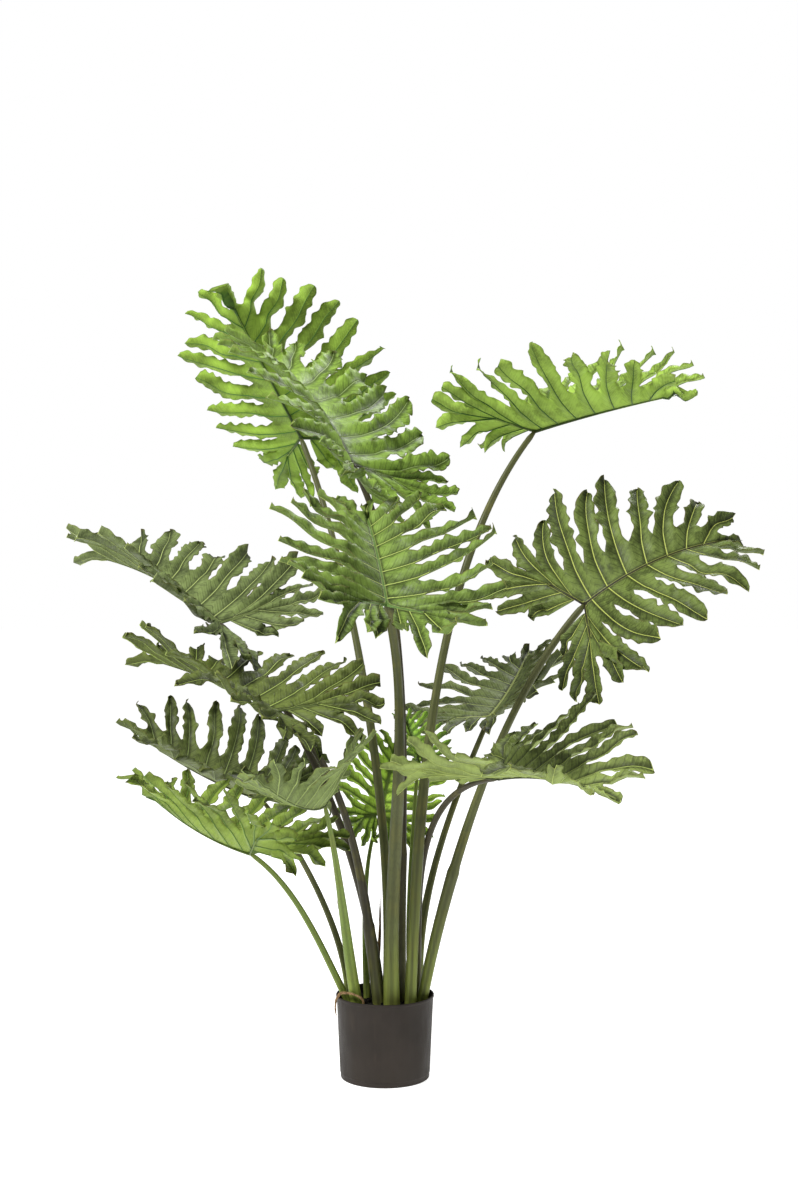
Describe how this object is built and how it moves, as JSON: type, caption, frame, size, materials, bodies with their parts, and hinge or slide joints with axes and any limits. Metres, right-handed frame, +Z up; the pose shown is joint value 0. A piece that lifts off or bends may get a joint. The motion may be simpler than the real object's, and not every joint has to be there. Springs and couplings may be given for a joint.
{
  "type": "potted philodendron selloum",
  "caption": "Potted house plant with deeply cut lobed leaves on separate arching stalks, standing in a round plastic nursery pot filled with soil.",
  "frame": {"origin": "centre of the pot's underside", "axes": "+Z up along the pot's axis, the plant seen along +Y with +X to its right"},
  "size_m": [1.1238, 0.9899, 1.3063],
  "materials": {
    "leaf_bright": "satin bright green leaf",
    "leaf_green": "satin mid green leaf",
    "leaf_grey": "satin grey green leaf",
    "leaf_dark": "satin dark green leaf",
    "stalk": "smooth olive green stalk",
    "dry_sheath": "dry brown papery",
    "pot": "matte dark brown grey",
    "soil": "rough black soil"
  },
  "bodies": {
    "root": {"blade_01": "leaf_bright", "stalk_01": "stalk", "blade_02": "leaf_green", "stalk_02": "stalk", "blade_03": "leaf_green", "stalk_03": "stalk", "blade_04": "leaf_bright", "stalk_04": "stalk", "blade_05": "leaf_green", "stalk_05": "stalk", "blade_06": "leaf_grey", "stalk_06": "stalk", "blade_07": "leaf_green", "stalk_07": "stalk", "blade_08": "leaf_grey", "stalk_08": "stalk", "blade_09": "leaf_green", "stalk_09": "stalk", "blade_10": "leaf_dark", "stalk_10": "stalk", "blade_11": "leaf_bright", "stalk_11": "stalk", "blade_12": "leaf_green", "stalk_12": "stalk", "blade_13": "leaf_bright", "stalk_13": "stalk", "blade_14": "leaf_bright", "stalk_14": "stalk", "pot": "pot", "soil": "soil", "sheath_left": "dry_sheath", "sheath_middle": "dry_sheath", "sheath_loop": "dry_sheath"}
  },
  "joints": []
}
